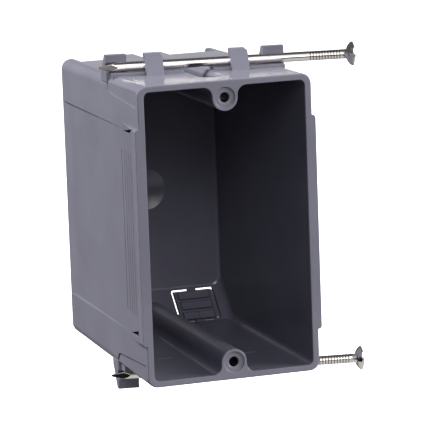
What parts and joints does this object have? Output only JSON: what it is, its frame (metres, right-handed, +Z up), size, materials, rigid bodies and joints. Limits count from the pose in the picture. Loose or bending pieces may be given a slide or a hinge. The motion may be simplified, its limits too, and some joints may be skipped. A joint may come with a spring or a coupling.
{
  "type": "nail-on electrical device box",
  "caption": "Single-gang plastic switch box with captive nails in moulded clips, screw bosses at top and bottom and break-in cable flaps.",
  "frame": {"origin": "midway between the two device screw holes, where their straight walls begin, 0.9 mm behind the plane of the rim", "axes": "+X to the right seen from the open front, +Y from the front into the box, +Z up; the nail points face -X"},
  "size_m": [0.0811, 0.087, 0.1073],
  "materials": {
    "grey_plastic": "semi-gloss moulded",
    "plated_steel": "bright zinc plating"
  },
  "bodies": {
    "box": {"box_body": "grey_plastic"},
    "upper_nail_body": {"upper_nail": "plated_steel"},
    "lower_nail_body": {"lower_nail": "plated_steel"}
  },
  "joints": [
    {"name": "upper_nail_drive", "type": "slide", "parent": "box", "child": "upper_nail_body", "axis": [-0.987, 0.1609, 0], "range_m": [0, 0.019]},
    {"name": "lower_nail_drive", "type": "slide", "parent": "box", "child": "lower_nail_body", "axis": [-0.987, 0.1609, 0], "range_m": [0, 0.019]}
  ]
}
